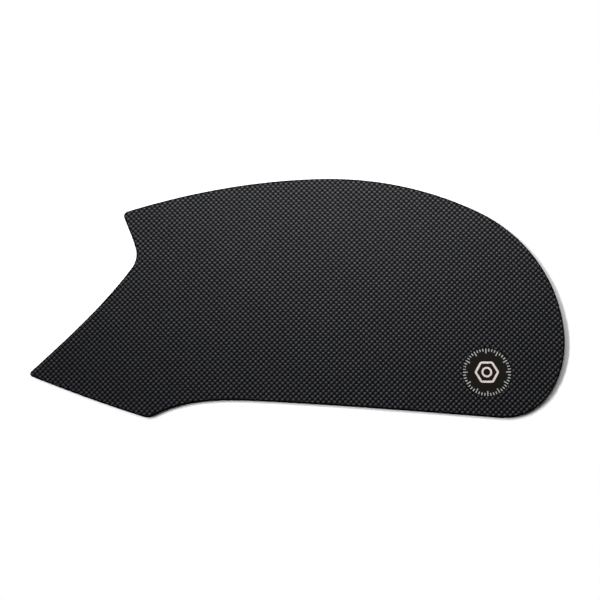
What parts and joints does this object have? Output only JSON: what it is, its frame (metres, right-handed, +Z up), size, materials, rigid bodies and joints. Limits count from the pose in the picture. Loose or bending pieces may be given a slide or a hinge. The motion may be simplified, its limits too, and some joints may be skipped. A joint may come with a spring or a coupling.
{
  "type": "motorcycle tank pad",
  "caption": "Side grip pad for a motorcycle tank: a flat rubber sheet with close grip relief, a plain rim, a notched tail, a round nose and a smooth land for an emblem.",
  "frame": {"origin": "middle of the footprint's bounding rectangle, on the glued back", "axes": "+X along the pad from the pointed tail to the round nose, +Y across it towards the long arched edge, +Z up from the glued back to the grip face"},
  "size_m": [0.2798, 0.1298, 0.0017],
  "materials": {
    "grip_rubber": "satin moulded rubber, black",
    "emblem_print": "pale grey print, matt"
  },
  "bodies": {
    "root": {"grip_pad": "grip_rubber"}
  },
  "joints": []
}
